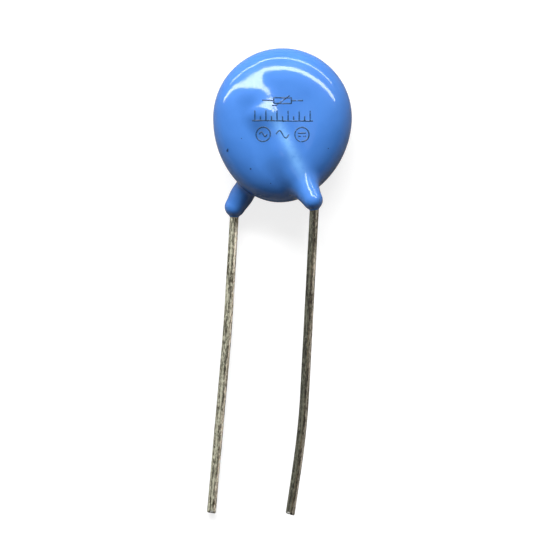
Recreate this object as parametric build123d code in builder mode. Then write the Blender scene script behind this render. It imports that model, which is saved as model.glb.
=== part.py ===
from build123d import *

import os
from math import atan, cos, degrees, radians, sin

# Disc varistor with two radial leads: a zinc-oxide disc with a silver electrode on each
# face, a tinned wire soldered across each electrode, and a coat of epoxy dipped over all.
# It is drawn face on, with the disc in the XY plane, its front towards +Z and its leads
# towards -Y, and is then laid on its back, the way a loose one comes to rest on a table.
# Units are millimetres and degrees.

# Zinc-oxide disc and its fired silver electrodes
DISC_DIAMETER = 10.2
DISC_THICKNESS = 3.4
ELECTRODE_DIAMETER = 8.6
ELECTRODE_THICKNESS = 0.05

# Tinned copper wires: a straight seat that slants across the disc, a bend inside the
# coat, a slight knee further down, and an end left by the cutter
WIRE_DIAMETER = 0.8
WIRE_SLANT = 27.0
SEAT_LENGTH = {"front": 10.9, "rear": 11.6}
BEND_RADIUS = 0.9
KNEE_RADIUS = {"front": 25.0, "rear": 150.0}
END_TRIM = 0.1
END_ANGLE = {"front": 8.0, "rear": 0.0}
END_CHAMFER = {"front": 0.05, "rear": 0.12}

# Solder mound that ties each wire to its electrode
SOLDER_FILM = 0.05
SOLDER_LENGTH = 6.9
SOLDER_WIDTH = 2.3
SOLDER_HEIGHT = 0.62
SOLDER_TAPER = 38.0
SOLDER_OVERRUN = 0.4

# Epoxy over the disc: an egg-shaped outline of three arcs a side, with round rims
CROWN_RADIUS = 6.35
FLANK_RADIUS = 8.5
KEEL_DEPTH = 7.75
FACE_COAT = 0.7
RIM_ROUNDING = 1.95

# Epoxy over each wire: a soft ridge on the face that narrows to a round nose below it
NOSE_RADIUS = 0.96
NOSE_RISE = {"front": 0.5, "rear": 0.0}
RIDGE_RADIUS = 1.6
RIDGE_HEIGHT = 0.6
BLEND_RADIUS = 1.5

# Heights above the middle of the disc
DISC_FACE = DISC_THICKNESS / 2
ELECTRODE_FACE = DISC_FACE + ELECTRODE_THICKNESS
WIRE_HEIGHT = ELECTRODE_FACE + SOLDER_FILM + WIRE_DIAMETER / 2
COAT_FACE = DISC_FACE + FACE_COAT

# The front is the +Z face and the rear is the -Z face
SIDE = {"front": 1, "rear": -1}

# Corners of each wire's route below its seat
BEND = {
    "front": Vector(3.51, -7.85, WIRE_HEIGHT),
    "rear": Vector(-3.76, -8.40, -WIRE_HEIGHT),
}
KNEE = {
    "front": Vector(4.00, -28.0, WIRE_HEIGHT - 0.10),
    "rear": Vector(-3.50, -20.0, -WIRE_HEIGHT),
}
END = {
    "front": Vector(3.52, -36.25, WIRE_HEIGHT - 0.30),
    "rear": Vector(-3.69, -36.80, -WIRE_HEIGHT - 0.15),
}


def seat_direction(name):
    """Direction in which a wire's seat climbs across the disc, away from its bend."""
    angle = radians(WIRE_SLANT)
    return Vector(-SIDE[name] * sin(angle), cos(angle), 0)


def seat_end(name):
    """Centre of the inner end of a wire, on the disc."""
    return BEND[name] + seat_direction(name) * SEAT_LENGTH[name]


def nose_centre(name):
    """Centre of the round nose of epoxy in which a wire bends."""
    return BEND[name] + seat_direction(name) * NOSE_RISE[name]


def ridge_centre(name):
    """Centre of the round upper end of the ridge, which crests above the coat's face."""
    drop = WIRE_HEIGHT - (COAT_FACE + RIDGE_HEIGHT - RIDGE_RADIUS)
    return seat_end(name) - Vector(0, 0, SIDE[name] * drop)


def make_ceramic_disc():
    """Pressed and sintered zinc-oxide disc."""
    with BuildPart() as ceramic_disc:
        Cylinder(DISC_DIAMETER / 2, DISC_THICKNESS)
    return ceramic_disc


def make_electrode(name):
    """Thin round layer of silver on one face of the disc."""
    with BuildPart() as electrode:
        with BuildSketch(Plane.XY.offset(SIDE[name] * DISC_FACE)):
            Circle(ELECTRODE_DIAMETER / 2)
        extrude(amount=SIDE[name] * ELECTRODE_THICKNESS)
    return electrode


def make_lead(name):
    """Round wire along its route, cut off at a slight slant with a broken edge."""
    with BuildPart() as lead:
        with BuildLine():
            route = FilletPolyline(
                seat_end(name),
                BEND[name],
                KNEE[name],
                END[name],
                radius=(BEND_RADIUS, KNEE_RADIUS[name]),
            )
        with BuildSketch(Plane(origin=route @ 0, z_dir=route % 0)):
            Circle(WIRE_DIAMETER / 2)
        sweep(path=route)
        end_plane = Plane(origin=route @ 1, z_dir=route % 1).offset(-END_TRIM)
        split(bisect_by=end_plane.rotated((0, END_ANGLE[name], 0)), keep=Keep.BOTTOM)
        end_face = lead.faces().sort_by(Axis.Y)[0]
        chamfer(end_face.edges(), END_CHAMFER[name])
    return lead


def make_solder_joint(name, lead):
    """Mound of solder with sloping sides, half burying the wire and ending past it."""
    seat = Plane(
        origin=(0, 0, SIDE[name] * ELECTRODE_FACE),
        x_dir=seat_direction(name),
        z_dir=(0, 0, SIDE[name]),
    )
    wire_end = seat.to_local_coords(seat_end(name))
    middle = wire_end.X + SOLDER_OVERRUN - SOLDER_LENGTH / 2
    with BuildPart() as solder_joint:
        with BuildSketch(seat):
            with Locations((middle, wire_end.Y)):
                SlotOverall(SOLDER_LENGTH, SOLDER_WIDTH)
        extrude(amount=SOLDER_HEIGHT, taper=SOLDER_TAPER)
        add(lead.part, mode=Mode.SUBTRACT)
    return solder_joint


def draw_egg_outline():
    """Crown, flank and keel arcs of the coat, each tangent to the next, on both sides."""
    keel_ratio = (FLANK_RADIUS - KEEL_DEPTH) / (FLANK_RADIUS - CROWN_RADIUS)
    flank_sweep = 90 - 2 * degrees(atan(keel_ratio))
    keel_radius = FLANK_RADIUS - (FLANK_RADIUS - CROWN_RADIUS) / cos(radians(flank_sweep))
    crown = JernArc((0, CROWN_RADIUS), (1, 0), CROWN_RADIUS, -90)
    flank = JernArc(crown @ 1, crown % 1, FLANK_RADIUS, -flank_sweep)
    JernArc(flank @ 1, flank % 1, keel_radius, flank_sweep - 90)
    mirror(about=Plane.YZ)


def ridge_profile(name):
    """Half of the tapered capsule round one wire's seat, on the plane of its axis."""
    nose = nose_centre(name)
    along = ridge_centre(name) - nose
    across = along.cross(Vector(0, 0, 1))
    with BuildSketch(Plane(origin=nose, x_dir=across, z_dir=across.cross(along))) as profile:
        Circle(NOSE_RADIUS)
        with Locations((0, along.length)):
            Circle(RIDGE_RADIUS)
        make_hull()
        split(bisect_by=Plane.YZ)
    return profile.sketch


def ridge_axis(name):
    """Line from the nose to the upper end of the ridge."""
    return Axis(nose_centre(name), ridge_centre(name) - nose_centre(name))


def make_coating(enclosed):
    """Dipped epoxy: the egg, a ridge over each wire, and the room for what it encloses."""
    with BuildPart() as epoxy_coating:
        with BuildSketch(Plane.XY.offset(-COAT_FACE)):
            with BuildLine():
                draw_egg_outline()
            make_face()
        extrude(amount=2 * COAT_FACE)
        fillet(epoxy_coating.edges().filter_by(Plane.XY), RIM_ROUNDING)
        for name in SIDE:
            revolve(ridge_profile(name), axis=ridge_axis(name))
            fillet(epoxy_coating.edges(Select.NEW), BLEND_RADIUS)
        for piece in enclosed:
            add(piece.part, mode=Mode.SUBTRACT)
    return epoxy_coating


ceramic_disc = make_ceramic_disc()
front_electrode = make_electrode("front")
rear_electrode = make_electrode("rear")
front_lead = make_lead("front")
rear_lead = make_lead("rear")
front_solder_joint = make_solder_joint("front", front_lead)
rear_solder_joint = make_solder_joint("rear", rear_lead)

# The coat is dipped last, over everything else
pieces = {
    "ceramic_disc": ceramic_disc,
    "front_electrode": front_electrode,
    "rear_electrode": rear_electrode,
    "front_lead": front_lead,
    "rear_lead": rear_lead,
    "front_solder_joint": front_solder_joint,
    "rear_solder_joint": rear_solder_joint,
}
pieces["epoxy_coating"] = make_coating(list(pieces.values()))

# Lying on its back, it touches the table with the rear ridge, near both of its ends,
# and with the end of the rear lead
wire_end_contact = END["rear"] - Vector(0, 0, WIRE_DIAMETER / 2)
nose_contact = nose_centre("rear") - Vector(0, 0, NOSE_RADIUS)
ridge_contact = ridge_centre("rear") - Vector(0, 0, RIDGE_RADIUS)
up = (ridge_contact - wire_end_contact).cross(nose_contact - wire_end_contact)
table = Plane(origin=wire_end_contact, x_dir=(1, 0, 0), z_dir=up)

# The origin is on the table, under the middle of the bounding box
outline = Compound([table.to_local_coords(piece.part) for piece in pieces.values()])
box = outline.bounding_box()
under_middle = Location((-box.center().X, -box.center().Y, -box.min.Z))

os.makedirs("parts", exist_ok=True)
for label, piece in pieces.items():
    piece.part = table.to_local_coords(piece.part).moved(under_middle)
    piece.part.label = label
    export_step(piece.part, f"parts/{label}.step")
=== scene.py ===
"""Dresses a packed disc varistor: its dipped epoxy, tinned wires, print and the parts inside."""

import math

import bmesh
import bpy
import numpy as np
from bpy.props import FloatProperty, FloatVectorProperty, IntProperty, PointerProperty
from bpy.types import Operator, Panel, PropertyGroup
from mathutils import Matrix, Vector


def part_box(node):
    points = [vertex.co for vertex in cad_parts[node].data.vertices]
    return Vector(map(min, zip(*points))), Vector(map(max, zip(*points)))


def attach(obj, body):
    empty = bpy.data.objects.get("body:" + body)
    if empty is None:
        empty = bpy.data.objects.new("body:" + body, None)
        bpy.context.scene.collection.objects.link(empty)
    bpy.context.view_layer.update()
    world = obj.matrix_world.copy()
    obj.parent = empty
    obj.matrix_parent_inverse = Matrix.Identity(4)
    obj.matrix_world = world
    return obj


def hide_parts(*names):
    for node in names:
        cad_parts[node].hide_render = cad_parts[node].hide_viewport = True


bl_info = {
    "name": "Disc Varistor",
    "version": (1, 0, 0),
    "blender": (4, 5, 0),
    "location": "View3D > Sidebar > Varistor",
    "description": "Dresses a packed disc varistor and lights it on a plain pale floor",
    "category": "Object",
}

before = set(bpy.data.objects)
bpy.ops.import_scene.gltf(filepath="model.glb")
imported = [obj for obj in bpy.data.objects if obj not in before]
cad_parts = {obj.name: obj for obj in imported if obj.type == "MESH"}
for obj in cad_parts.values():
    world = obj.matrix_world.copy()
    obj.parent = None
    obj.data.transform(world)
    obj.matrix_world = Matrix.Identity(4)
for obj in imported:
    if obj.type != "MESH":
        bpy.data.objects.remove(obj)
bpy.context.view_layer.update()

MM = 0.001

# The wires' routes in the component's own axes: its disc in XY, its front towards +Z and
# its wires towards -Y, from the middle of the disc. The rear wire is on the -Z face. Each
# wire slants across the disc on its seat, bends inside the coat, and bends a little again
# at its knee.
SIDE = {"front": 1, "rear": -1}
WIRE_HEIGHT = 2.2
SLANT = {"front": math.radians(30.5), "rear": math.radians(27)}
SEAT_LENGTH = {"front": 9.7 * MM, "rear": 11.6 * MM}
BEND = {
    "front": Vector((3.51, -7.85, WIRE_HEIGHT)) * MM,
    "rear": Vector((-3.76, -8.40, -WIRE_HEIGHT)) * MM,
}
KNEE = {
    "front": Vector((4.02, -28.0, WIRE_HEIGHT - 0.10)) * MM,
    "rear": Vector((-3.545, -20.0, -WIRE_HEIGHT)) * MM,
}
WIRE_END = {
    "front": Vector((3.48, -35.90, WIRE_HEIGHT - 0.30)) * MM,
    "rear": Vector((-3.735, -36.75, -WIRE_HEIGHT - 0.12)) * MM,
}
BEND_RADIUS = 0.9 * MM
KNEE_RADIUS = {"front": 70 * MM, "rear": 150 * MM}

# What the cutter left at each wire's end: the share of the upper half that it took off, how
# far back that slope reaches, how far the end leans, and where across it the painted glint lies
CUT = {
    "front": {"taken": 0.35, "slope": 0.15 * MM, "lean": 0.05 * MM, "glint": -0.20 * MM},
    "rear": {"taken": 0.36, "slope": 0.20 * MM, "lean": 0.02 * MM, "glint": 0.02 * MM},
}

# How far back from the cut an end starts to lean, how much its worn corner narrows it, and
# how far back that wear starts
LEAN_REACH = 0.3 * MM
CORNER_WEAR = 0.16
CORNER_REACH = 0.09 * MM

# How far the last rings of a wire are from its end
END_RINGS = np.array((0.09, 0.06, 0.035, 0.015, 0)) * MM

# Where the epoxy stands proud over each wire, from its nose to its upper end: across, up,
# height of the crest above the middle of the disc, and radius, in millimetres. The front
# ridge steps down past the wire's end and runs out over the solder.
RIDGE = {
    "front": (
        (3.33, -7.39, 3.11, 0.90),
        (2.77, -6.57, 2.55, 0.86),
        (0.10, -3.27, 2.66, 1.35),
        (-1.76, 0.03, 2.93, 1.10),
        (-1.83, 1.15, 2.40, 1.00),
        (-2.57, 1.69, 2.29, 0.87),
        (-2.86, 3.25, 1.56, 0.83),
    ),
    "rear": (
        (-3.76, -8.40, 3.12, 0.95),
        (-3.18, -7.26, 2.88, 0.87),
        (0.85, 0.65, 2.74, 1.60),
        (2.00, 2.90, 1.60, 1.20),
    ),
}

# How far down a wire the coat's collar runs, and how far inside the wire its core lies
COLLAR_LENGTH = 1.6 * MM
COLLAR_INSET = 0.03 * MM

ROOM_BELOW = 11 * MM
ABOVE_FACE = 3.0 * MM

# Wavelengths of the slow unevenness of the coat, and of the tin on a wire
COAT_WAVES = np.array((7.3, 5.1, 3.7, 2.6, 1.9)) * MM
TIN_WAVES = np.geomspace(0.5, 2.1, 11) * MM

# The pale streak painted along each ridge as a soft highlight over its wire: how far it lies
# beside the wire's middle, its half width, where along the seat it starts and ends, and how
# long it takes to show and to fade, in millimetres
STREAK_OFFSET = 0.27
STREAK_WIDTH = 0.50
STREAK_START, STREAK_END = 1.4, 10.2
STREAK_SHOWING, STREAK_FADING = 2.6, 2.4

# Specks of dust caught in the front of the coat: across, up and radius, in millimetres
SPECKS = (
    (-4.76, -3.47, 0.13),
    (-4.72, -3.34, 0.07),
    (-3.55, -2.32, 0.05),
    (-2.51, -4.99, 0.09),
    (1.23, -7.08, 0.06),
    (4.35, -2.60, 0.05),
    (-0.60, -6.15, 0.05),
)
SPECK_COLOUR = (0.008, 0.018, 0.045)

# Rows of the print, from the middle of its second row, and how close the points along its
# lines are, in millimetres
TOP_ROW = 1.38
SCALE_FOOT, SCALE_TOP = -0.46, 0.46
LOW_ROW = -1.68
LINE_STEP = 0.07

# Middle of the picture from the middle of the disc, and the lamps in the picture's axes,
# right, up and towards the camera, in millimetres
PICTURE_MIDDLE = (0.92, -14.81, 0)
LAMPS = {
    "key": {"place": (-50, 215, 228), "size": (1180, 55), "matt": False},
    "fill": {"place": (-48, 243, 204), "size": (380, 120), "gloss": False},
    "rim": {"place": (-16, 462, 134), "size": (1250, 30), "matt": False},
    "glow": {"place": (8, -28, 350), "size": (150, 150), "soft": True},
}

# Half the side of the floor, in metres
FLOOR_REACH = 2.0


def length(name, description, millimetres):
    """A length property, kept in metres."""
    return FloatProperty(
        name=name,
        description=description,
        default=millimetres * MM,
        min=0,
        precision=5,
        subtype="DISTANCE",
        unit="LENGTH",
    )


def share(name, description, value, top=1.0):
    """A property between 0 and its top, without a unit."""
    return FloatProperty(name=name, description=description, default=value, min=0, max=top)


def colour(name, description, value):
    """A colour property."""
    return FloatVectorProperty(
        name=name, description=description, default=value, min=0, max=1, size=3, subtype="COLOR"
    )


class VARISTOR_PG_coat(PropertyGroup):
    """Shape and finish of the dipped epoxy."""

    crown_radius: length("Crown Radius", "Outline above the middle of the disc", 6.35)
    flank_radius: length("Flank Radius", "Outline beside and below the middle", 8.5)
    keel_depth: length("Keel Depth", "From the middle of the disc to the lowest point", 7.75)
    half_thickness: length("Half Thickness", "From the middle to the edge of a face", 2.29)
    dome: length("Dome", "How far the middle of a face stands proud of its edge", 0.14)
    rim_width: length("Rim Width", "How far the rounding of the rim reaches into a face", 3.33)
    rim_drop: length("Rim Drop", "How far the rounding of the rim reaches down the side", 2.29)
    blend: length("Blend", "Reach of the soft join between ridge and face", 0.98)
    ridge_blend: length("Ridge Blend", "Reach of the soft joins along a ridge", 0.86)
    meniscus: length("Meniscus", "Reach of the epoxy drawn down onto a wire", 0.20)
    ripple: length("Ripple", "Slow unevenness of the dipped surface", 0.006)
    cell: length("Cell", "Mesh spacing of the coat", 0.09)
    tint: colour("Colour", "Pigmented epoxy", (0.072, 0.255, 0.760))
    shade: colour("Shade", "Darker clouds in the epoxy", (0.062, 0.230, 0.710))
    # Painted highlight: the paler blue laid as a soft streak of light along each ridge
    streak_highlight: colour("Thin", "Epoxy so thin that the wire pales it", (0.160, 0.420, 0.900))
    roughness: share("Roughness", "How blurred the gloss is", 0.10)


class VARISTOR_PG_wires(PropertyGroup):
    """Shape and finish of the two wires."""

    diameter: length("Diameter", "Tinned copper wire", 0.83)
    unevenness: length("Unevenness", "Waviness of the tin along the wire", 0.008)
    step: length("Step", "Mesh spacing along a wire", 0.08)
    sides: IntProperty(name="Sides", description="Mesh faces round a wire", default=40, min=12)
    # One tin painted twice: dark on the front wire as in shade, pale on the rear wire as in light
    front_tin_shaded: colour("Front Tin", "Dark, greenish tin of the front wire", (0.070, 0.070, 0.050))
    rear_tin_lit: colour("Rear Tin", "Pale tin of the rear wire", (0.290, 0.285, 0.215))
    # A darker brownish line along each wire
    dark_line: colour("Stain", "Line where copper tints the tin", (0.055, 0.038, 0.018))
    # Painted reflection: the warm, pale colour along the right side of each wire
    tan: colour("Tan", "Side that has aged warmer", (0.420, 0.365, 0.290))
    # Painted highlight: the pale colour of the glint at each wire's cut end
    cut_glint: colour("Fresh", "Tin laid bare by the cutter", (0.900, 0.890, 0.840))


class VARISTOR_PG_print(PropertyGroup):
    """Generic marks printed on the front face."""

    stroke: length("Stroke", "Width of a printed line", 0.12)
    film: length("Film", "How far the ink stands on the epoxy", 0.006)
    ink: colour("Ink", "Dark blue-grey ink", (0.018, 0.070, 0.165))
    lean: FloatProperty(
        name="Lean",
        description="Angle between the rows and the component's own axes",
        default=math.radians(4.5),
        subtype="ANGLE",
        unit="ROTATION",
    )


class VARISTOR_PG_studio(PropertyGroup):
    """Camera, floor and light."""

    view_width: length("View Width", "Width of the picture at the disc", 51.2)
    lens: FloatProperty(
        name="Lens", description="Focal length", default=150, min=10, subtype="DISTANCE_CAMERA"
    )
    roll: FloatProperty(
        name="Roll",
        description="How far the component leans to the right in the picture",
        default=math.radians(4.45),
        subtype="ANGLE",
        unit="ROTATION",
    )
    key: share("Key", "Brightness of the long overhead lamp, which shows in gloss", 14.0, 100)
    fill: share("Fill", "Brightness of the shorter lamp there, for matt surfaces", 13.8, 100)
    rim: share("Rim", "Brightness of the low lamp beyond the crown", 16.0, 100)
    glow: share("Glow", "Brightness of the soft lamp beside the camera", 1.1, 100)
    ambient: share("Ambient", "Brightness of the surroundings for matt surfaces", 0.17)
    sheen: share("Sheen", "How much of the floor's glow shows in gloss", 0.16)
    horizon: share("Horizon", "How much of the white surroundings shows in gloss", 0.5)
    glow_of_floor: share("Floor Glow", "How much the floor glows to the eye", 0.80)
    floor: colour("Floor", "Plain pale floor", (0.34, 0.34, 0.34))


# ---- Places ----------------------------------------------------------------------------


def box_centre(node):
    """Middle of a CAD node's box."""
    low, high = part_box(node)
    return (low + high) / 2


def component_axes():
    """Matrix from the component's own axes to the frame, from where its electrodes lie."""
    front, rear = box_centre("front_electrode"), box_centre("rear_electrode")
    outward = (front - rear).normalized()
    across = Vector((1, 0, 0))
    across = (across - outward * across.dot(outward)).normalized()
    turn = Matrix((across, outward.cross(across), outward)).transposed()
    return Matrix.Translation((front + rear) / 2) @ turn.to_4x4()


def seat_direction(name):
    """Direction in which a wire climbs across the disc, away from its bend."""
    return Vector((-SIDE[name] * math.sin(SLANT[name]), math.cos(SLANT[name]), 0))


def seat_end(name):
    """Centre of the inner end of a wire."""
    return BEND[name] + seat_direction(name) * SEAT_LENGTH[name]


# ---- Making meshes ---------------------------------------------------------------------


def make_piece(name, points, faces, finish, normals=None):
    """Mesh object from points in the component's axes, placed in the frame, on its body."""
    axes = component_axes()
    turn = np.array(axes.to_3x3())
    placed = points @ turn.T + np.array(axes.translation)
    mesh = bpy.data.meshes.new(name)
    mesh.from_pydata(placed.tolist(), [], faces.tolist())
    mesh.materials.append(finish)
    mesh.shade_smooth()
    if normals is not None:
        mesh.normals_split_custom_set_from_vertices((normals @ turn.T).tolist())
    piece = bpy.data.objects.new(name, mesh)
    bpy.context.scene.collection.objects.link(piece)
    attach(piece, "root")
    return piece


def sum_of_ripples(points, wavelengths):
    """Smooth unevenness between about -1 and 1, the same on each run."""
    total = np.zeros(points.shape[:-1])
    for index, wavelength in enumerate(wavelengths):
        heading = np.array(
            (math.sin(2.4 * index + 0.7), math.cos(1.7 * index), math.sin(1.3 * index + 2.1))
        )
        total += np.sin(points @ (heading * (2 * math.pi / wavelength)) + 1.9 * index)
    return total / len(wavelengths)


# ---- The coat as a distance field ------------------------------------------------------


def egg_distance(x, y, coat):
    """Distance outside an outline of crown, flank and keel arcs, each tangent to the next."""
    shift = coat.flank_radius - coat.crown_radius
    ratio = (coat.flank_radius - coat.keel_depth) / shift
    flank_sweep = math.pi / 2 - 2 * math.atan(ratio)
    keel_radius = coat.flank_radius - shift / math.cos(flank_sweep)
    keel_centre = -shift * math.tan(flank_sweep)
    beside = np.abs(x)
    crown = np.hypot(beside, y) - coat.crown_radius
    flank = np.hypot(beside + shift, y) - coat.flank_radius
    keel = np.hypot(beside, y - keel_centre) - keel_radius
    below = np.arctan2(-y, beside + shift)
    return np.where(y > 0, crown, np.where(below < flank_sweep, flank, keel))


def disc_distance(points, coat):
    """Roughly the distance outside the coated disc, with oval rims and domed faces."""
    x, y, z = np.moveaxis(points, -1, 0)
    dome = coat.dome * (1 - (x * x + y * y) / coat.crown_radius**2)
    across = (egg_distance(x, y, coat) + coat.rim_width) / coat.rim_width
    up = (np.abs(z) - coat.half_thickness - dome + coat.rim_drop) / coat.rim_drop
    outside = np.hypot(np.maximum(across, 0), np.maximum(up, 0))
    inside = np.minimum(np.maximum(across, up), 0)
    return (outside + inside - 1) * coat.rim_drop


def round_cone(points, start, end, start_radius, end_radius):
    """Distance outside a cone with a ball at each end."""
    along = np.array(end - start)
    span = along @ along
    growth = start_radius - end_radius
    flat_span = span - growth * growth
    offset = points - np.array(start)
    height = offset @ along
    beyond = height - span
    aside = ((offset * span - height[..., None] * along) ** 2).sum(-1)
    turning = np.sign(growth) * growth * growth * aside
    distance = (np.sqrt(aside * flat_span / span) + height * growth) / span - start_radius
    before = np.sign(height) * flat_span * height * height * span < turning
    distance = np.where(
        before, np.sqrt(aside + height * height * span) / span - start_radius, distance
    )
    past = np.sign(beyond) * flat_span * beyond * beyond * span > turning
    return np.where(past, np.sqrt(aside + beyond * beyond * span) / span - end_radius, distance)


def soft_union(first, second, reach):
    """Union of two distance fields that runs softly from one into the other."""
    overlap = np.maximum(reach - np.abs(first - second), 0) / reach
    return np.minimum(first, second) - overlap * overlap * reach / 4


def ridge_distance(points, name, coat):
    """Distance outside the ridge over a wire."""
    balls = [
        (Vector((across, up, SIDE[name] * (crest - radius))) * MM, radius * MM)
        for across, up, crest, radius in RIDGE[name]
    ]
    distance = None
    for (start, start_radius), (end, end_radius) in zip(balls, balls[1:]):
        run = round_cone(points, start, end, start_radius, end_radius)
        distance = run if distance is None else soft_union(distance, run, coat.ridge_blend)
    return distance


def coat_distance(points, coat, wires):
    """Roughly the distance outside the epoxy: the disc, two ridges, and the wires' collars."""
    distance = disc_distance(points, coat)
    for name in SIDE:
        distance = soft_union(distance, ridge_distance(points, name, coat), coat.blend)
        below = BEND[name] + (KNEE[name] - BEND[name]).normalized() * COLLAR_LENGTH
        core = wires.diameter / 2 - COLLAR_INSET
        collar = round_cone(points, BEND[name], below, core, core)
        distance = soft_union(distance, collar, coat.meniscus)
    return distance + coat.ripple * sum_of_ripples(points, COAT_WAVES)


def coat_field(scene):
    """The coat's distance field, with a scene's settings."""
    coat, wires = scene.varistor_coat, scene.varistor_wires

    def field(points):
        return coat_distance(points, coat, wires)

    return field


def painted_streak_over_wires(points):
    """Painted highlight beside each wire's crest, from 0 to 1 where it is brightest."""
    streak_strength = np.zeros(len(points))
    for name, side in SIDE.items():
        direction = np.array(seat_direction(name))
        offset = points - np.array(BEND[name])
        along = offset @ direction / MM
        aside = (offset @ np.cross(direction, (0, 0, side))) / MM - STREAK_OFFSET
        outer = side * points[:, 2] > WIRE_HEIGHT * MM
        shown = np.clip((along - STREAK_START) / STREAK_SHOWING, 0, 1)
        faded = np.clip((STREAK_END - along) / STREAK_FADING, 0, 1)
        streak_highlight = np.exp(-((aside / STREAK_WIDTH) ** 2)) * (shown * faded) * outer
        streak_strength = np.maximum(streak_strength, streak_highlight)
    return streak_strength


def slopes(field, points):
    """Gradient of a field at points."""
    step = 1e-4 * MM
    axes = np.eye(3) * step
    return np.stack([field(points + a) - field(points - a) for a in axes], -1) / (2 * step)


def surface_net(field, low, high, cell):
    """Quads on a field's zero surface, one vertex to a grid cell, settled onto the surface."""
    ticks = [np.arange(a, b + cell, cell) for a, b in zip(low, high)]
    inside = field(np.stack(np.meshgrid(*ticks, indexing="ij"), -1)) < 0
    count = np.zeros([n - 1 for n in inside.shape], int)
    nx, ny, nz = count.shape
    for i, j, k in np.ndindex(2, 2, 2):
        count += inside[i : i + nx, j : j + ny, k : k + nz]
    mixed = (count > 0) & (count < 8)
    number = np.full(mixed.shape, -1)
    cells = np.argwhere(mixed)
    number[mixed] = np.arange(len(cells))
    points = np.array(low) + (cells + 0.5) * cell
    quads = [crossing_quads(inside, number, axis) for axis in range(3)]
    for _ in range(5):
        slope = slopes(field, points)
        points -= (field(points) / (slope * slope).sum(-1))[:, None] * slope
    slope = slopes(field, points)
    return points, np.concatenate(quads), slope / np.linalg.norm(slope, axis=1)[:, None]


def crossing_quads(inside, number, axis):
    """A quad round each grid edge along an axis that crosses the surface."""
    first = np.take(inside, range(inside.shape[axis] - 1), axis)
    second = np.take(inside, range(1, inside.shape[axis]), axis)
    edges = np.argwhere(first != second)
    one, two = (axis + 1) % 3, (axis + 2) % 3
    outward = first[tuple(edges.T)]
    corners = []
    for back_one, back_two in ((1, 1), (0, 1), (0, 0), (1, 0)):
        cell = edges.copy()
        cell[:, one] -= back_one
        cell[:, two] -= back_two
        corners.append(number[tuple(cell.T)])
    quads = np.stack(corners, 1)
    return np.where(outward[:, None], quads, quads[:, ::-1])


# ---- Wires -----------------------------------------------------------------------------


def rounded_route(name):
    """Points along a wire's straight runs and the arcs that join them."""
    corners = [np.array(p) for p in (seat_end(name), BEND[name], KNEE[name], WIRE_END[name])]
    points = [corners[0]]
    for before, corner, after, radius in zip(
        corners, corners[1:], corners[2:], (BEND_RADIUS, KNEE_RADIUS[name])
    ):
        into = (corner - before) / np.linalg.norm(corner - before)
        out = (after - corner) / np.linalg.norm(after - corner)
        turn = math.acos(into @ out)
        entry = corner - into * radius * math.tan(turn / 2)
        inward = (out - into * (into @ out)) / math.sin(turn)
        for angle in np.linspace(0, turn, 24):
            points.append(
                entry + radius * (math.sin(angle) * into + (1 - math.cos(angle)) * inward)
            )
    points.append(corners[-1])
    return np.array(points)


def even_steps(points, step):
    """The same route with points a step apart and closer at its end, and how far each one is."""
    runs = np.linalg.norm(np.diff(points, axis=0), axis=1)
    reached = np.concatenate(([0], np.cumsum(runs)))
    last = reached[-1] - END_RINGS
    wanted = np.concatenate((np.arange(0, last[0] - step / 2, step), last))
    even = np.stack([np.interp(wanted, reached, points[:, i]) for i in range(3)], 1)
    return even, wanted


def cut_end(name, left, around):
    """How wide and high an end's section is, and how far it leans, at a distance from the cut."""

    def near(reach):
        return np.clip(1 - left / reach, 0, 1)[:, None]

    cut = CUT[name]
    upper = np.sin(around) > 0
    width = 1 - CORNER_WEAR * near(CORNER_REACH) ** 2
    height = width * (1 - cut["taken"] * near(cut["slope"]) * upper)
    return width, height, cut["lean"] * near(LEAN_REACH) * np.cos(around)


def make_wire(name, wires):
    """Rings along a wire, with uneven tin and a cut end, and those of a straight plain one."""
    route, reached = even_steps(rounded_route(name), wires.step)
    heading = np.gradient(route, axis=0)
    heading /= np.linalg.norm(heading, axis=1)[:, None]
    sideways = np.cross((0, 0, 1), heading)
    sideways /= np.linalg.norm(sideways, axis=1)[:, None]
    top = np.cross(heading, sideways)
    around = np.linspace(0, 2 * math.pi, wires.sides, endpoint=False)[None, :]
    radius = wires.diameter / 2
    straight = np.stack(
        np.broadcast_arrays(radius * np.cos(around), radius * np.sin(around), reached[:, None]), -1
    )
    bumps = sum_of_ripples(straight * (1, 1, 0.4), TIN_WAVES) * 2
    girth = radius - wires.unevenness * (0.5 + 0.5 * bumps)
    width, height, lean = cut_end(name, reached[-1] - reached, around)
    ring = (
        (girth * width * np.cos(around))[..., None] * sideways[:, None]
        + (girth * height * np.sin(around))[..., None] * top[:, None]
        + lean[..., None] * heading[:, None]
    )
    return route[:, None] + ring, straight


def tube_faces(rings, sides):
    """Quads between successive rings."""
    ring = np.arange(rings - 1)[:, None] * sides
    spot = np.arange(sides)[None, :]
    after = (spot + 1) % sides
    walls = np.stack((ring + spot, ring + after, ring + sides + after, ring + sides + spot), -1)
    return walls.reshape(-1, 4)


# ---- Print -----------------------------------------------------------------------------


def wave_stroke(x, y, width, height):
    """One period of a wave, as the sign for alternating current."""
    turns = np.linspace(0, 2 * math.pi, 25)
    return [(x + width * (t / (2 * math.pi) - 0.5), y + height / 2 * math.sin(t)) for t in turns]


def ring_stroke(x, y, radius):
    """A round line."""
    turns = np.linspace(0, 2 * math.pi, 41)
    return [(x + radius * math.cos(t), y + radius * math.sin(t)) for t in turns]


def box_stroke(x, y, width, height):
    """A line round a rectangle."""
    w, h = width / 2, height / 2
    return [(x - w, y), (x - w, y + h), (x + w, y + h), (x + w, y - h), (x - w, y - h), (x - w, y)]


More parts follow.
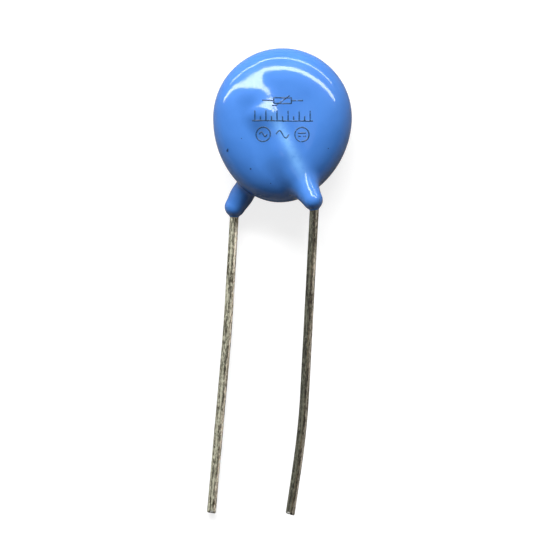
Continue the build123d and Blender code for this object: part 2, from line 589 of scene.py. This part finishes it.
def printed_strokes():
    """Lines of the print, in millimetres from the middle of its second row.

    The top row is the circuit sign of a varistor. The others are a plain graduation and
    the signs for alternating and direct current, so the print names nothing.
    """
    strokes = [
        [(-1.85, TOP_ROW), (-0.80, TOP_ROW)],
        [(0.80, TOP_ROW), (1.85, TOP_ROW)],
        box_stroke(0, TOP_ROW, 1.6, 0.52),
        [(-0.95, TOP_ROW - 0.46), (-0.62, TOP_ROW - 0.46), (0.62, TOP_ROW + 0.46)],
        [(-2.75, SCALE_FOOT), (2.75, SCALE_FOOT)],
    ]
    for index in range(11):
        x = -2.5 + 0.5 * index
        strokes.append([(x, SCALE_FOOT), (x, SCALE_TOP if index % 2 == 0 else -0.02)])
    strokes += [
        ring_stroke(-1.75, LOW_ROW, 0.64),
        wave_stroke(-1.75, LOW_ROW, 0.70, 0.40),
        wave_stroke(0.0, LOW_ROW, 1.15, 0.66),
        ring_stroke(1.75, LOW_ROW, 0.64),
        [(1.38, LOW_ROW + 0.12), (2.12, LOW_ROW + 0.12)],
        [(1.38, LOW_ROW - 0.16), (1.64, LOW_ROW - 0.16)],
        [(1.86, LOW_ROW - 0.16), (2.12, LOW_ROW - 0.16)],
    ]
    return strokes


def dense_line(corners, step):
    """Points along a line's runs, no further than a step apart."""
    points = [np.array(corners[0], float)]
    for a, b in zip(corners, corners[1:]):
        a, b = np.array(a, float), np.array(b, float)
        pieces = max(1, math.ceil(np.linalg.norm(b - a) / step))
        points += [a + (b - a) * (i + 1) / pieces for i in range(pieces)]
    return np.array(points)


def ribbon_edges(line, width):
    """Left and right edges of a ribbon along a line."""
    heading = np.gradient(line, axis=0)
    heading /= np.maximum(np.linalg.norm(heading, axis=1), 1e-9)[:, None]
    left = np.stack((-heading[:, 1], heading[:, 0]), 1) * width / 2
    return line + left, line - left


def face_height(x, y, field):
    """Height of the front of a field's zero surface over places on the face, found from above."""
    z = np.full_like(x, ABOVE_FACE)
    step = 1e-3 * MM
    for _ in range(14):
        here = np.stack((x, y, z), -1)
        above = np.stack((x, y, z + step), -1)
        value = field(here)
        z = z - value / ((field(above) - value) / step)
    return z


def ink_slabs(prints, field):
    """Thin closed slabs of ink for every stroke, lying on the front face."""
    cosine, sine = math.cos(prints.lean), math.sin(prints.lean)
    turn = np.array(((cosine, sine), (-sine, cosine)))
    points, faces, first = [], [], 0
    for stroke in printed_strokes():
        line = dense_line(stroke, LINE_STEP) * MM
        edges = np.concatenate(ribbon_edges(line, prints.stroke)) @ turn
        z = face_height(edges[:, 0], edges[:, 1], field)
        # The slab is sunk into the epoxy, so that no gap shows
        upper = np.column_stack((edges, z + prints.film))
        lower = np.column_stack((edges, z - 4 * prints.film))
        count = len(line)
        points += [upper, lower]
        faces.append(slab_faces(count) + first)
        first += 4 * count
    return np.concatenate(points), np.concatenate(faces)


def slab_faces(count):
    """Quads of one closed slab: left and right edges of its top, then of its bottom."""
    left, right, left_low, right_low = (np.arange(count) + i * count for i in range(4))
    sides = (
        (right, left),
        (left_low, right_low),
        (left, left_low),
        (right_low, right),
    )
    quads = [np.stack((a[:-1], b[:-1], b[1:], a[1:]), 1) for a, b in sides]
    ends = [
        (left[0], right[0], right_low[0], left_low[0]),
        (right[-1], left[-1], left_low[-1], right_low[-1]),
    ]
    return np.concatenate(quads + [np.array(ends)])


# ---- Finishes --------------------------------------------------------------------------


def new_finish(name):
    """Material with a Principled shader, with its node tree and the shader."""
    finish = bpy.data.materials.new(name)
    finish.use_nodes = True
    return finish, finish.node_tree, finish.node_tree.nodes["Principled BSDF"]


def add_node(tree, kind, inputs=None, **settings):
    """Node with its settings, and for each input a value or a link to another socket."""
    node = tree.nodes.new(kind)
    for key, value in settings.items():
        setattr(node, key, value)
    for key, value in (inputs or {}).items():
        if isinstance(value, bpy.types.NodeSocket):
            tree.links.new(value, node.inputs[key])
        else:
            node.inputs[key].default_value = value
    return node


def noise(tree, place, scale, detail=2.0, roughness=0.5, offset=(0, 0, 0), stretch=(1, 1, 1)):
    """Factor of a noise texture, with its scale in features to the millimetre."""
    moved = add_node(
        tree,
        "ShaderNodeMapping",
        {"Vector": place, "Location": offset, "Scale": [s / MM for s in stretch]},
    )
    texture = add_node(
        tree,
        "ShaderNodeTexNoise",
        {"Vector": moved.outputs[0], "Scale": scale, "Detail": detail, "Roughness": roughness},
    )
    return texture.outputs["Fac"]


def ramp(tree, factor, stops):
    """Colour of a factor, between (position, colour) stops."""
    node = add_node(tree, "ShaderNodeValToRGB", {"Fac": factor})
    scale = node.color_ramp
    while len(scale.elements) < len(stops):
        scale.elements.new(0.5)
    for element, (position, value) in zip(scale.elements, stops):
        element.position = position
        element.color = (*value, 1)
    return node.outputs["Color"]


def rise(tree, factor, low, high):
    """A factor that goes from 0 to 1 as another goes from low to high."""
    node = add_node(
        tree,
        "ShaderNodeMapRange",
        {"Value": factor, "From Min": low, "From Max": high},
        interpolation_type="SMOOTHSTEP",
    )
    return node.outputs["Result"]


def mix(tree, factor, first, second, blend="MIX"):
    """Colour between two colours or sockets."""
    node = tree.nodes.new("ShaderNodeMix")
    node.data_type = "RGBA"
    node.blend_type = blend
    # The colours' sockets come after those for values and vectors
    sockets = (node.inputs[0], node.inputs[6], node.inputs[7])
    for socket, value in zip(sockets, (factor, first, second)):
        if isinstance(value, bpy.types.NodeSocket):
            tree.links.new(value, socket)
        elif socket.type == "RGBA":
            socket.default_value = (*value, 1)
        else:
            socket.default_value = value
    return node.outputs[2]


def calculate(tree, operation, *values):
    """Result of a Math node."""
    node = add_node(tree, "ShaderNodeMath", dict(enumerate(values)), operation=operation)
    return node.outputs[0]


def bump(tree, height, depth, strength=1.0):
    """Normal from a height, where a height of 1 stands as high as depth."""
    node = add_node(
        tree, "ShaderNodeBump", {"Height": height, "Distance": depth, "Strength": strength}
    )
    return node.outputs[0]


def distance_from(tree, place, spot):
    """Distance of a place from a spot."""
    node = add_node(tree, "ShaderNodeVectorMath", {0: place, 1: spot}, operation="DISTANCE")
    return node.outputs["Value"]


def object_place(tree):
    """Place on the piece, in metres."""
    return add_node(tree, "ShaderNodeTexCoord").outputs["Object"]


def epoxy_finish(coat, specks):
    """Glossy pigmented epoxy with faint clouds, orange peel and specks at (place, radius)."""
    finish, tree, shader = new_finish("epoxy")
    place = object_place(tree)
    clouds = rise(tree, noise(tree, place, 0.35, 3), 0.35, 0.70)
    body = mix(tree, clouds, tuple(coat.tint), tuple(coat.shade))
    # The pale streak along each ridge is a painted soft highlight
    streak_highlight = add_node(tree, "ShaderNodeAttribute", attribute_name="streak_highlight").outputs["Fac"]
    uneven = rise(tree, noise(tree, place, 2.2, 4, 0.7), 0.05, 0.60)
    body = mix(tree, calculate(tree, "MULTIPLY", streak_highlight, uneven), body, tuple(coat.streak_highlight))
    ragged = noise(tree, place, 9.0, 2)
    for centre, radius in specks:
        away = distance_from(tree, place, centre)
        away = calculate(tree, "MULTIPLY_ADD", ragged, 0.6 * radius, away)
        dark = calculate(tree, "MULTIPLY", rise(tree, away, 1.5 * radius, 0.9 * radius), 0.85)
        body = mix(tree, dark, body, SPECK_COLOUR)
    tree.links.new(body, shader.inputs["Base Color"])
    blur = add_node(
        tree,
        "ShaderNodeMapRange",
        {
            "Value": noise(tree, place, 1.3, 3, offset=(5, 5, 0)),
            "To Min": coat.roughness * 0.6,
            "To Max": coat.roughness * 1.5,
        },
    )
    tree.links.new(blur.outputs[0], shader.inputs["Roughness"])
    peel = noise(tree, place, 2.4, 2, offset=(1, 2, 3))
    tree.links.new(bump(tree, peel, 0.008 * MM, 0.6), shader.inputs["Normal"])
    shader.inputs["IOR"].default_value = 1.50
    return finish


def tin_finish(name, wires, cut):
    """Tin with painted light: a painted highlight on one edge, a painted warm reflection on the
    other, a darker line between, mottled, with painted glints.
    """
    finish, tree, shader = new_finish(f"{name}_tin")
    tin = Vector(wires.front_tin_shaded if name == "front" else wires.rear_tin_lit)
    dark_line, tan = Vector(wires.dark_line), Vector(wires.tan)
    if name == "rear":
        # The paler wire is painted as in light: its darker line is fainter, and its painted warm
        # reflection is paler too
        dark_line, tan = dark_line.lerp(tin, 0.35), tan * 1.9
    place = add_node(tree, "ShaderNodeAttribute", attribute_name="straight").outputs["Vector"]
    apart = add_node(tree, "ShaderNodeSeparateXYZ", {0: place}).outputs
    wander = noise(tree, place, 0.22, 3, stretch=(0, 0, 1))
    across = calculate(tree, "MULTIPLY_ADD", apart[0], 1 / wires.diameter, 0.5)
    across = calculate(tree, "SUBTRACT", across, 0.11)
    across = calculate(tree, "MULTIPLY_ADD", wander, 0.22, across)
    # Painted light across the wire: from a painted highlight along one edge, over a darker line,
    # to a painted warm reflection along the other side
    sides = (
        (0.08, tin * 1.25),
        (0.22, tin * 0.9),
        (0.50, tin.lerp(dark_line, 0.20)),
        (0.60, dark_line),
        (0.70, tin.lerp(tan, 0.15)),
        (0.84, tan),
    )
    body = ramp(tree, across, [(position, tuple(value)) for position, value in sides])
    streaks = noise(tree, place, 6.0, 2, 0.5, stretch=(1, 1, 0.07))
    grain = noise(tree, place, 7.0, 3, 0.6, offset=(3, 1, 5), stretch=(1, 1, 0.40))
    mottle = calculate(tree, "MULTIPLY_ADD", streaks, 0.5, calculate(tree, "MULTIPLY", grain, 0.5))
    depths = ((0.42, (0.16, 0.14, 0.09)), (0.50, (0.85, 0.85, 0.83)), (0.58, (2.0, 2.0, 2.0)))
    mottled = mix(tree, 1.0, body, ramp(tree, mottle, depths), "MULTIPLY")
    lengthwise = noise(tree, place, 0.12, 2, offset=(2, 6, 3), stretch=(0, 0, 1))
    stretches = rise(tree, lengthwise, 0.50, 0.62)
    dulled = mix(tree, calculate(tree, "MULTIPLY", stretches, 0.45), mottled, tuple(tin * 0.45))
    # Painted glints: small bright flecks of the tin's colour, made paler
    spots = noise(tree, place, 5.0, 2, 0.5, offset=(4, 2, 9), stretch=(1, 1, 0.45))
    glint_flecks = rise(tree, spots, 0.59, 0.66)
    glint_flecked = mix(tree, calculate(tree, "MULTIPLY", glint_flecks, 0.8), dulled, tuple(tin * 2.2))
    # Painted glint near the cut end
    glint_spot = (CUT[name]["glint"], wires.diameter / 2, cut - 0.06 * MM)
    away = distance_from(tree, place, glint_spot)
    cut_glint = calculate(tree, "MULTIPLY", rise(tree, away, 0.24 * MM, 0.13 * MM), 0.9)
    tipped = mix(tree, cut_glint, glint_flecked, tuple(wires.cut_glint))
    tree.links.new(tipped, shader.inputs["Base Color"])
    shader.inputs["Metallic"].default_value = 0.25
    rough = add_node(tree, "ShaderNodeMapRange", {"Value": mottle, "To Min": 0.45, "To Max": 0.65})
    tree.links.new(rough.outputs[0], shader.inputs["Roughness"])
    relief = calculate(tree, "MULTIPLY_ADD", glint_flecks, 0.4, mottle)
    tree.links.new(bump(tree, relief, 0.03 * MM), shader.inputs["Normal"])
    return finish


def ink_finish(prints, coat):
    """Worn grey ink through which the epoxy shows in places."""
    finish, tree, shader = new_finish("print_ink")
    place = object_place(tree)
    worn = rise(tree, noise(tree, place, 3.5, 4, 0.7), 0.50, 0.72)
    body = mix(tree, worn, tuple(prints.ink), tuple(coat.tint))
    tree.links.new(body, shader.inputs["Base Color"])
    shader.inputs["Roughness"].default_value = 0.25
    return finish


def ceramic_finish():
    """Sintered zinc oxide: dark, matt and finely speckled."""
    finish, tree, shader = new_finish("ceramic")
    place = object_place(tree)
    grain = noise(tree, place, 14.0, 4, 0.7)
    body = ramp(tree, grain, ((0.30, (0.035, 0.040, 0.036)), (0.70, (0.110, 0.115, 0.100))))
    tree.links.new(body, shader.inputs["Base Color"])
    tree.links.new(bump(tree, grain, 0.01 * MM), shader.inputs["Normal"])
    shader.inputs["Roughness"].default_value = 0.85
    return finish


def silver_finish():
    """Fired silver paste: pale, dull metal with the streaks of its printing."""
    finish, tree, shader = new_finish("silver")
    place = object_place(tree)
    streaks = noise(tree, place, 3.0, 4, 0.6, stretch=(0.15, 1, 1))
    body = ramp(tree, streaks, ((0.30, (0.52, 0.51, 0.48)), (0.70, (0.74, 0.73, 0.70))))
    tree.links.new(body, shader.inputs["Base Color"])
    tree.links.new(bump(tree, streaks, 0.01 * MM), shader.inputs["Normal"])
    shader.inputs["Metallic"].default_value = 0.9
    shader.inputs["Roughness"].default_value = 0.5
    return finish


def solder_finish():
    """Solder: bright grey metal, dulled and puckered where it froze."""
    finish, tree, shader = new_finish("solder")
    place = object_place(tree)
    pucker = noise(tree, place, 2.2, 4, 0.6)
    body = ramp(tree, pucker, ((0.30, (0.34, 0.35, 0.36)), (0.70, (0.60, 0.61, 0.62))))
    tree.links.new(body, shader.inputs["Base Color"])
    tree.links.new(bump(tree, pucker, 0.05 * MM), shader.inputs["Normal"])
    shader.inputs["Metallic"].default_value = 1.0
    shader.inputs["Roughness"].default_value = 0.32
    return finish


# ---- Studio ----------------------------------------------------------------------------


def picture_axes(studio, middle=(0, 0, 0)):
    """Matrix of the picture's axes, right, up and towards the camera, from a place on the disc."""
    place = Matrix.Translation(Vector(middle) * MM)
    return component_axes() @ place @ Matrix.Rotation(studio.roll, 4, "Z")


def place_camera(studio):
    """Camera that looks straight at the front face."""
    data = bpy.data.cameras.new("camera")
    data.lens = studio.lens
    camera = bpy.data.objects.new("camera", data)
    distance = studio.view_width / 2 / (data.sensor_width / 2 / data.lens)
    data.clip_start = distance / 100
    data.clip_end = distance * 100
    axes = picture_axes(studio, PICTURE_MIDDLE)
    camera.matrix_world = axes @ Matrix.Translation((0, 0, distance))
    bpy.context.scene.collection.objects.link(camera)
    bpy.context.scene.camera = camera


def place_lamp(name, studio, place, size, soft=False, matt=True, gloss=True):
    """Rectangular lamp turned to the disc, which may light only matt surfaces or only gloss."""
    data = bpy.data.lights.new(name, "AREA")
    data.shape = "RECTANGLE"
    data.size, data.size_y = (side * MM for side in size)
    data.energy = getattr(studio, name) * math.pi * data.size * data.size_y
    if soft:
        fade_to_edges(data)
    lamp = bpy.data.objects.new(name, data)
    outward = Vector(place).normalized()
    across = Vector((0, 1, 0)).cross(outward).normalized()
    turn = Matrix((across, outward.cross(across), outward)).transposed().to_4x4()
    lamp.matrix_world = picture_axes(studio) @ Matrix.Translation(Vector(place) * MM) @ turn
    lamp.visible_camera = False
    lamp.visible_diffuse = matt
    lamp.visible_glossy = gloss
    bpy.context.scene.collection.objects.link(lamp)


def fade_to_edges(lamp):
    """Makes an area lamp fade from its middle to its edges."""
    lamp.use_nodes = True
    tree = lamp.node_tree
    spot = add_node(tree, "ShaderNodeNewGeometry").outputs["Parametric"]
    away = distance_from(tree, spot, (0.5, 0.5, 0))
    tree.links.new(rise(tree, away, 0.5, 0.0), tree.nodes["Emission"].inputs["Strength"])


def seen_directly(tree, in_gloss=1.0):
    """1 for rays from the camera and through glass, in_gloss for reflections, 0 for others."""
    path = add_node(tree, "ShaderNodeLightPath").outputs
    straight = calculate(tree, "MAXIMUM", path["Is Camera Ray"], path["Is Transmission Ray"])
    reflected = calculate(tree, "MULTIPLY", path["Is Glossy Ray"], in_gloss)
    return calculate(tree, "MAXIMUM", straight, reflected)


def light_world(studio):
    """Surroundings that are white at the horizon, and light matt surfaces from the top side."""
    world = bpy.data.worlds.new("surroundings")
    world.use_nodes = True
    tree = world.node_tree
    direction = add_node(tree, "ShaderNodeTexCoord").outputs["Generated"]
    turn = picture_axes(studio).to_3x3()

    def lean(*toward):
        """How far a ray leans toward a direction in the picture's axes."""
        axis = turn @ Vector(toward).normalized()
        node = add_node(
            tree, "ShaderNodeVectorMath", {0: direction, 1: axis}, operation="DOT_PRODUCT"
        )
        return node.outputs["Value"]

    height = add_node(tree, "ShaderNodeSeparateXYZ", {0: direction}).outputs[2]
    top_side = rise(tree, lean(0, 1, 0), -0.35, 0.80)
    overhead = mix(tree, top_side, (0.10, 0.10, 0.11), (0.98, 0.99, 1.00))
    horizon = mix(tree, seen_directly(tree, studio.horizon), (0, 0, 0), (1, 1, 1))
    shown = mix(tree, rise(tree, height, 0.04, 0.20), horizon, overhead)
    lit_side = rise(tree, lean(-0.55, 0.65, 0.52), -0.15, 0.15)
    lighting = mix(tree, lit_side, (0, 0, 0), (studio.ambient,) * 3)
    seen = seen_directly(tree)
    tree.links.new(mix(tree, seen, lighting, shown), tree.nodes["Background"].inputs["Color"])
    bpy.context.scene.world = world


def lay_floor(studio):
    """Wide pale floor that keeps a soft shadow and throws little light back."""
    corners = ((-1, -1, 0), (1, -1, 0), (1, 1, 0), (-1, 1, 0))
    mesh = bpy.data.meshes.new("floor")
    mesh.from_pydata([Vector(c) * FLOOR_REACH for c in corners], [], [(0, 1, 2, 3)])
    finish, tree, shader = new_finish("floor")
    shader.inputs["Roughness"].default_value = 0.9
    shader.inputs["Specular IOR Level"].default_value = 0.1
    seen = seen_directly(tree)
    grain = noise(tree, object_place(tree), 0.3, 2)
    pale = tuple(studio.floor)
    near_pale = tuple(0.985 * c for c in pale)
    seen_colour = mix(tree, grain, pale, near_pale)
    body = mix(tree, seen, (0.03, 0.03, 0.03), seen_colour)
    tree.links.new(body, shader.inputs["Base Color"])
    shader.inputs["Emission Color"].default_value = (1, 1, 1, 1)
    glow = calculate(tree, "MULTIPLY", seen_directly(tree, studio.sheen), studio.glow_of_floor)
    tree.links.new(glow, shader.inputs["Emission Strength"])
    mesh.materials.append(finish)
    floor = bpy.data.objects.new("floor", mesh)
    bpy.context.scene.collection.objects.link(floor)


# ---- Operators -------------------------------------------------------------------------


class VARISTOR_OT_coat(Operator):
    """Dip the disc and the tops of its wires in epoxy."""

    bl_idname = "varistor.coat"
    bl_label = "Epoxy Coat"
    bl_options = {"REGISTER", "UNDO"}

    def execute(self, context):
        coat, field = context.scene.varistor_coat, coat_field(context.scene)
        room = 4 * coat.cell
        side = coat.crown_radius + room
        height = max(crest for _, _, crest, _ in RIDGE["front"]) * MM + room
        cell = coat.cell * 1
        points, quads, normals = surface_net(
            field, (-side, -ROOM_BELOW, -height), (side, side, height), cell
        )
        specks = np.array(SPECKS) * MM
        heights = face_height(specks[:, 0], specks[:, 1], field)
        axes = component_axes()
        places = [(axes @ Vector((x, y, z)), r) for (x, y, r), z in zip(specks, heights)]
        finish = epoxy_finish(coat, places)
        piece = make_piece("epoxy", points, quads, finish, normals)
        # Stores where the painted highlight streak lies on the coat
        streak_highlight = piece.data.attributes.new("streak_highlight", "FLOAT", "POINT")
        streak_highlight.data.foreach_set("value", painted_streak_over_wires(points).astype(np.float32))
        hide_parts("epoxy_coating")
        return {"FINISHED"}


class VARISTOR_OT_wires(Operator):
    """Draw the two tinned wires, with the ends that the cutter left."""

    bl_idname = "varistor.wires"
    bl_label = "Tinned Wires"
    bl_options = {"REGISTER", "UNDO"}

    def execute(self, context):
        wires = context.scene.varistor_wires
        for name in SIDE:
            rings, straight = make_wire(name, wires)
            count, sides = rings.shape[:2]
            faces = tube_faces(count, sides)
            points = rings.reshape(-1, 3)
            finish = tin_finish(name, wires, cut=straight[-1, 0, 2])
            piece = make_piece(f"{name}_wire", points, faces, finish)
            self.close_ends(piece.data, count, sides)
            lay = piece.data.attributes.new("straight", "FLOAT_VECTOR", "POINT")
            lay.data.foreach_set("vector", straight.reshape(-1).astype(np.float32))
            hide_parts(f"{name}_lead")
        return {"FINISHED"}

    def close_ends(self, mesh, count, sides):
        """Adds the flat end faces."""
        shape = bmesh.new()
        shape.from_mesh(mesh)
        shape.verts.ensure_lookup_table()
        first = [shape.verts[i] for i in reversed(range(sides))]
        last = [shape.verts[(count - 1) * sides + i] for i in range(sides)]
        for ring in (first, last):
            shape.faces.new(ring)
        bmesh.ops.recalc_face_normals(shape, faces=shape.faces)
        shape.to_mesh(mesh)
        shape.free()


class VARISTOR_OT_print(Operator):
    """Print generic marks on the front face."""

    bl_idname = "varistor.print"
    bl_label = "Print"
    bl_options = {"REGISTER", "UNDO"}

    def execute(self, context):
        coat, prints = context.scene.varistor_coat, context.scene.varistor_print
        points, faces = ink_slabs(prints, coat_field(context.scene))
        make_piece("print", points, faces, ink_finish(prints, coat))
        return {"FINISHED"}


class VARISTOR_OT_element(Operator):
    """Finish the ceramic disc, its electrodes and its solder, inside the coat."""

    bl_idname = "varistor.element"
    bl_label = "Element"
    bl_options = {"REGISTER", "UNDO"}

    def execute(self, context):
        silver, solder = silver_finish(), solder_finish()
        finishes = {
            "ceramic_disc": ceramic_finish(),
            "front_electrode": silver,
            "rear_electrode": silver,
            "front_solder_joint": solder,
            "rear_solder_joint": solder,
        }
        for node, finish in finishes.items():
            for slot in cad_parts[node].material_slots:
                slot.material = finish
        return {"FINISHED"}


class VARISTOR_OT_studio(Operator):
    """Set the camera, the floor, the surroundings and the lamps."""

    bl_idname = "varistor.studio"
    bl_label = "Studio"
    bl_options = {"REGISTER", "UNDO"}

    def execute(self, context):
        studio = context.scene.varistor_studio
        place_camera(studio)
        lay_floor(studio)
        light_world(studio)
        for name, lamp in LAMPS.items():
            place_lamp(name, studio, **lamp)
        context.scene.view_settings.view_transform = "Standard"
        return {"FINISHED"}


class VARISTOR_PT_panel(Panel):
    """Lists the settings and the steps."""

    bl_idname = "VARISTOR_PT_panel"
    bl_label = "Disc Varistor"
    bl_space_type = "VIEW_3D"
    bl_region_type = "UI"
    bl_category = "Varistor"

    def draw(self, context):
        for key, (group, operators) in STEPS.items():
            settings = getattr(context.scene, key)
            box = self.layout.box()
            for operator in operators:
                box.operator(operator.bl_idname)
            for field in group.__annotations__:
                box.prop(settings, field)


# Each group of settings, and the operators listed with it, in the order in which they run
STEPS = {
    "varistor_coat": (VARISTOR_PG_coat, (VARISTOR_OT_coat,)),
    "varistor_wires": (VARISTOR_PG_wires, (VARISTOR_OT_wires,)),
    "varistor_print": (VARISTOR_PG_print, (VARISTOR_OT_print, VARISTOR_OT_element)),
    "varistor_studio": (VARISTOR_PG_studio, (VARISTOR_OT_studio,)),
}


def register():
    """Registers the settings, the operators and the panel."""
    for key, (group, operators) in STEPS.items():
        bpy.utils.register_class(group)
        setattr(bpy.types.Scene, key, PointerProperty(type=group))
        for operator in operators:
            bpy.utils.register_class(operator)
    bpy.utils.register_class(VARISTOR_PT_panel)


def unregister():
    """Takes away what register added."""
    bpy.utils.unregister_class(VARISTOR_PT_panel)
    for key, (group, operators) in reversed(STEPS.items()):
        for operator in operators:
            bpy.utils.unregister_class(operator)
        delattr(bpy.types.Scene, key)
        bpy.utils.unregister_class(group)


def main():
    """Runs every step in order."""
    register()
    bpy.ops.varistor.coat()
    bpy.ops.varistor.wires()
    bpy.ops.varistor.print()
    bpy.ops.varistor.element()
    bpy.ops.varistor.studio()


if __name__ == "__main__":
    main()
